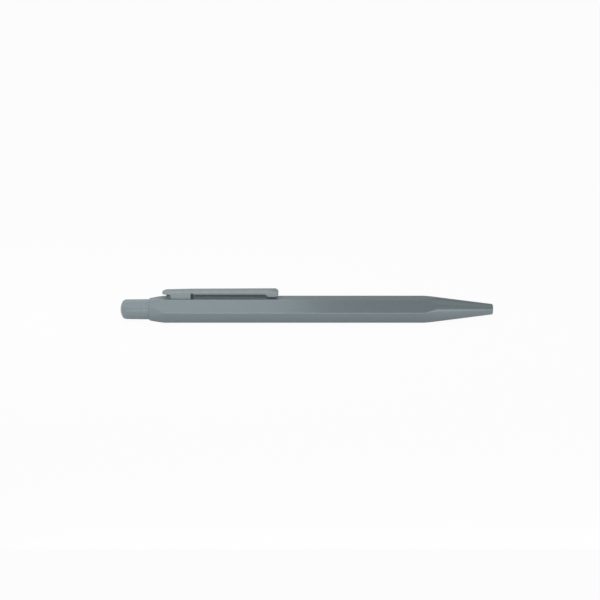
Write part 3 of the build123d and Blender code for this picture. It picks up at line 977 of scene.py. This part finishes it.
opening = [opened((step + 0.5) / turn_steps) for step in range(coil_steps)]
coil_length = spring_high.x - spring_low.x - 2 * wire_radius
open_pitch = (coil_length - coil_turns * closed_pitch) * turn_steps / sum(opening)
coil_place = spring_low.x + wire_radius
coil_rings = []
for step in range(coil_steps + 1):
    angle = 2 * math.pi * step / turn_steps
    outward = Vector((0, math.cos(angle), math.sin(angle)))
    middle = Vector((coil_place, 0, axis_height)) + outward * coil_radius
    coil_rings.append([
        middle + wire_radius * (outward * math.cos(side) + Vector((math.sin(side), 0, 0)))
        for side in spread(0, 2 * math.pi, wire_sides)[:-1]
    ])
    if step < coil_steps:
        coil_place += (closed_pitch + open_pitch * opening[step]) / turn_steps
spring = loft("spring_coil", coil_rings)
wire_steel, place = new_finish("spring_wire")
blued = speckle(place, blued_specks)
wire_marks = speckle(place, wire_specks)
sockets = {
    "Base Color": mix_colours(blued, shaded(blued_colour, 1.0), shaded(wire_colour, 1.0)),
    "Roughness": wire_roughness + wire_matting * wire_marks,
    "Metallic": 1.0,
}
surface(place, sockets, wire_marks, wire_relief)
spring.data.materials.append(wire_steel)
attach(spring, "barrel")
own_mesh(spring)
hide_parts("return_spring")


# Photograph's floor, light and view: a white table that rises to a cove all round, two soft boxes over
# the pen's rear half, one above its front half and a low one in front of that, a soft room light, and
# a long lens a little above the pen.
floor_half = 6.0
floor_cells = 8
cove_height = 0.9
front_cove_height = 1.75
front_edge = 0.1 - floor_half
paper_grey = (0.6, 0.6, 0.6, 1)
plain_white = (1, 1, 1, 1)
seen_white = 0.96
table_glow = 0.69
pen_shade = 0.012
shade_samples = 4
room_glow = 0.4
floor_mesh = bmesh.new()
bmesh.ops.create_grid(floor_mesh, x_segments=floor_cells, y_segments=floor_cells, size=floor_half)
for corner_point in floor_mesh.verts:
    if corner_point.is_boundary:
        in_front = corner_point.co.y < front_edge
        corner_point.co.z = front_cove_height if in_front else cove_height
floor_data = bpy.data.meshes.new("table")
floor_mesh.to_mesh(floor_data)
floor_mesh.free()
floor = bpy.data.objects.new("table", floor_data)
bpy.context.scene.collection.objects.link(floor)
floor_finish, place = new_finish("table_white")
looks = place.node("ShaderNodeLightPath", output="Is Camera Ray")
looks += place.node("ShaderNodeLightPath", output="Is Transmission Ray")
mirrored = place.node("ShaderNodeLightPath", output="Is Glossy Ray")
# Painted shadow: the table's white, as the pen's reflections see it, darkens near the pen by ambient
# occlusion.
clear_of_pen = {"Distance": pen_shade}
clear = place.node("ShaderNodeAmbientOcclusion", {"samples": shade_samples}, clear_of_pen, "AO")
whiteness = table_glow + looks * (seen_white - table_glow)
whiteness += mirrored * (clear * seen_white - table_glow)
paper = place.node("ShaderNodeBsdfDiffuse", {}, {"Color": paper_grey})
white = place.node("ShaderNodeEmission", {}, {"Color": plain_white, "Strength": 1.0})
seen = place.node("ShaderNodeMixShader", {}, {0: whiteness, 1: paper, 2: white})
place.node("ShaderNodeOutputMaterial", {}, {"Surface": seen})
floor.data.materials.append(floor_finish)

world = bpy.data.worlds.new("room")
world.use_nodes = True
room = world.node_tree.nodes["Background"]
room.inputs["Color"].default_value = plain_white
room.inputs["Strength"].default_value = room_glow
bpy.context.scene.world = world


def soft_box(name, place, width, height, glow):
    """Rectangular lamp of an even glow, facing the pen's axis straight across."""
    lamp = bpy.data.lights.new(name, "AREA")
    lamp.shape = "RECTANGLE"
    lamp.size = width
    lamp.size_y = height
    lamp.energy = glow * math.pi * width * height
    holder = bpy.data.objects.new(name, lamp)
    holder.location = place
    aim = Vector((place[0], 0, axis_height))
    holder.rotation_euler = (aim - Vector(place)).to_track_quat("-Z", "Y").to_euler()
    bpy.context.scene.collection.objects.link(holder)


soft_box("front_left", place=(-0.16, -0.0373, 0.0575), width=0.32, height=0.088, glow=0.83)
soft_box("back_left", place=(-0.166, 0.0344, 0.0594), width=0.32, height=0.07, glow=0.82)
soft_box("top_right", place=(0.15, 0, 0.17), width=0.3, height=0.16, glow=0.28)
soft_box("front_right", place=(0.17, -0.2, 0.019), width=0.5, height=0.036, glow=2.1)

photo_size = 600
photo_length = 372.2
photo_middle = (306.7, 309.2)
view_height = math.radians(17)
lens = 135
sensor = 36
nearest_seen = 0.01
pixel = (cad_box[1][0] - cad_box[0][0]) / photo_length
view_up = Vector((0, math.sin(view_height), math.cos(view_height)))
view_back = Vector((0, -math.cos(view_height), math.sin(view_height)))
aim = Vector((0, 0, axis_height)) + view_up * (photo_middle[1] - photo_size / 2) * pixel
aim.x -= (photo_middle[0] - photo_size / 2) * pixel
camera_data = bpy.data.cameras.new("camera")
camera_data.lens = lens
camera_data.sensor_width = sensor
camera_data.clip_start = nearest_seen
camera = bpy.data.objects.new("camera", camera_data)
camera.location = aim + view_back * (photo_size * pixel * lens / sensor)
camera.rotation_euler = (math.pi / 2 - view_height, 0, 0)
bpy.context.scene.collection.objects.link(camera)
bpy.context.scene.camera = camera
bpy.context.scene.view_settings.view_transform = "Standard"
